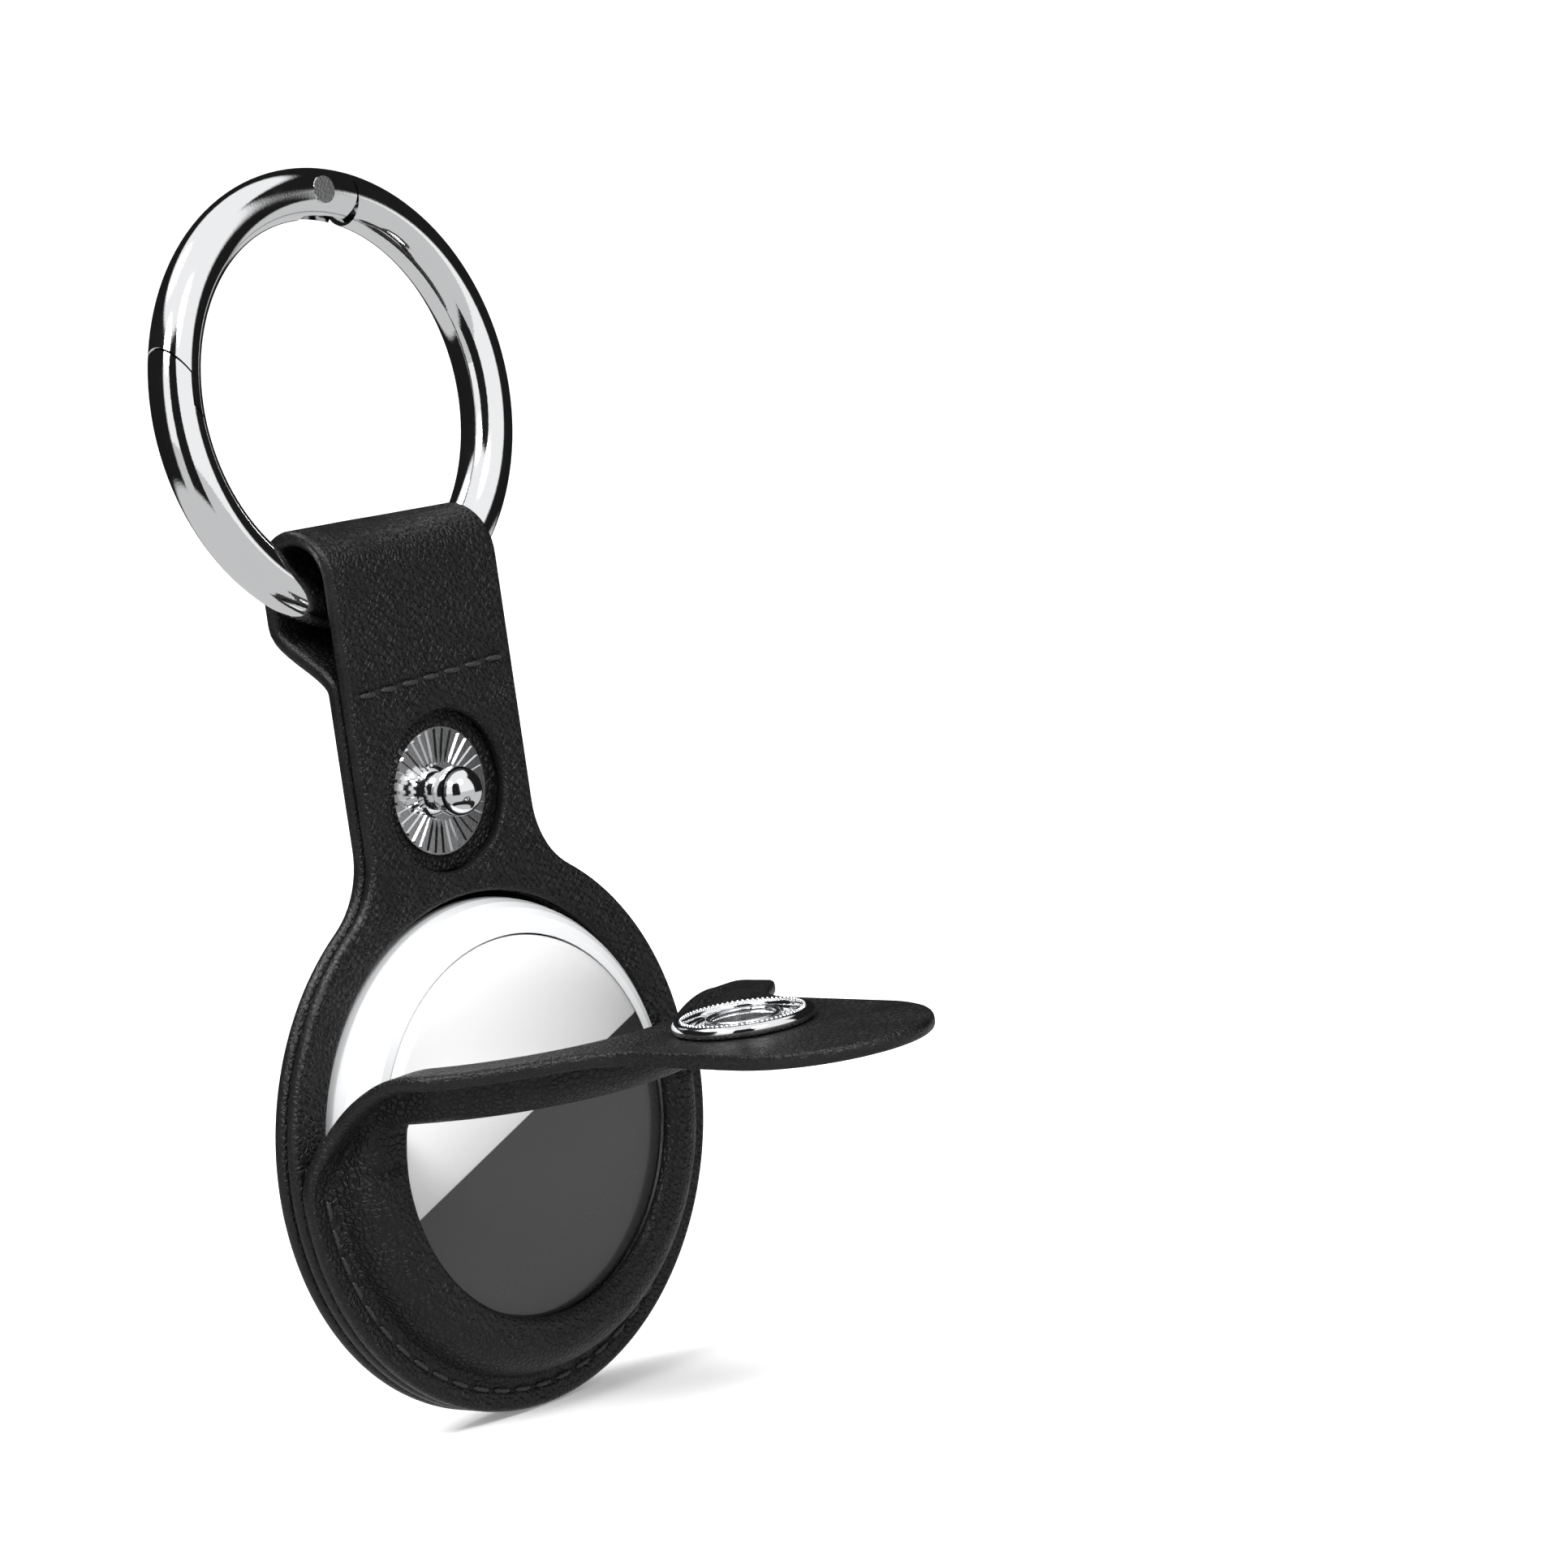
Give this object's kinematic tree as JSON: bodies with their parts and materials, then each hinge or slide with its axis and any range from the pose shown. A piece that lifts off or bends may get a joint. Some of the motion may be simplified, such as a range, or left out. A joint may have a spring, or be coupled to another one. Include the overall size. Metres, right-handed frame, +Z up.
{
  "type": "tracker tag holder",
  "caption": "Leather tracker tag holder on a spring-gate ring: round sewn pocket with a window, snap flap, folded strap, and the round tag inside.",
  "frame": {"origin": "on the tag's axis, at the flat crown of the back", "axes": "+Z up along the strap to the ring, -Y out of the open front, +X to the right seen from the front"},
  "size_m": [0.039, 0.049, 0.0865],
  "materials": {
    "black_leather": "fine grained, satin",
    "black_thread": "waxed thread",
    "snap_chrome": "polished",
    "ring_chrome": "mirror polished",
    "pin_steel": "plain",
    "spring_steel": "plain wire",
    "white_plastic": "gloss",
    "two_tone_steel": "polished, upper part bright, lower part dark grey",
    "seal_rubber": "matte",
    "cell_steel": "satin",
    "contact_brass": "plated",
    "board_green": "solder mask",
    "dark_plastic": "matte",
    "coil_copper": "enamelled wire",
    "magnet_grey": "plated"
  },
  "bodies": {
    "ring": {"ring_body": "ring_chrome"},
    "gate": {"ring_gate": "ring_chrome", "gate_pin": "pin_steel", "gate_plunger": "pin_steel", "gate_spring": "spring_steel"},
    "holder": {"strap": "black_leather", "front_pocket": "black_leather", "flap_fold_band": "black_leather", "rim_stitching": "black_thread", "strap_stitching": "black_thread", "snap_stud": "snap_chrome", "stud_rivet": "snap_chrome", "tag_shell": "white_plastic", "tag_seal": "seal_rubber", "tag_cell": "cell_steel", "tag_contacts": "contact_brass", "tag_board": "board_green", "tag_tray": "dark_plastic", "tag_coil": "coil_copper", "tag_magnet": "magnet_grey"},
    "flap": {"snap_flap": "black_leather", "snap_cap": "snap_chrome", "cap_post": "snap_chrome", "snap_socket": "snap_chrome", "socket_spring": "spring_steel"},
    "cover": {"tag_cover": "two_tone_steel"}
  },
  "joints": [
    {"name": "ring_swing", "type": "hinge", "parent": "ring", "child": "holder", "pos_m": [0, -0.00265, 0.0382], "axis": [1, 0, 0], "range_deg": [-35, 17]},
    {"name": "gate_open", "type": "hinge", "parent": "ring", "child": "gate", "pos_m": [0.00261, 0.0016, 0.065], "axis": [0, -0.9877, 0.1564], "range_deg": [0, 30], "stiffness_Nm_per_rad": 0.02, "springref_deg": -17.19},
    {"name": "flap_fold", "type": "hinge", "parent": "holder", "child": "flap", "pos_m": [0, -0.01085, 0.00365], "axis": [1, 0, 0], "range_deg": [-90, 85], "deforming": ["flap_fold_band"]},
    {"name": "cover_twist", "type": "hinge", "parent": "holder", "child": "cover", "pos_m": [0, -0.009, 0], "axis": [0, 1, 0], "range_deg": [0, 20]}
  ]
}
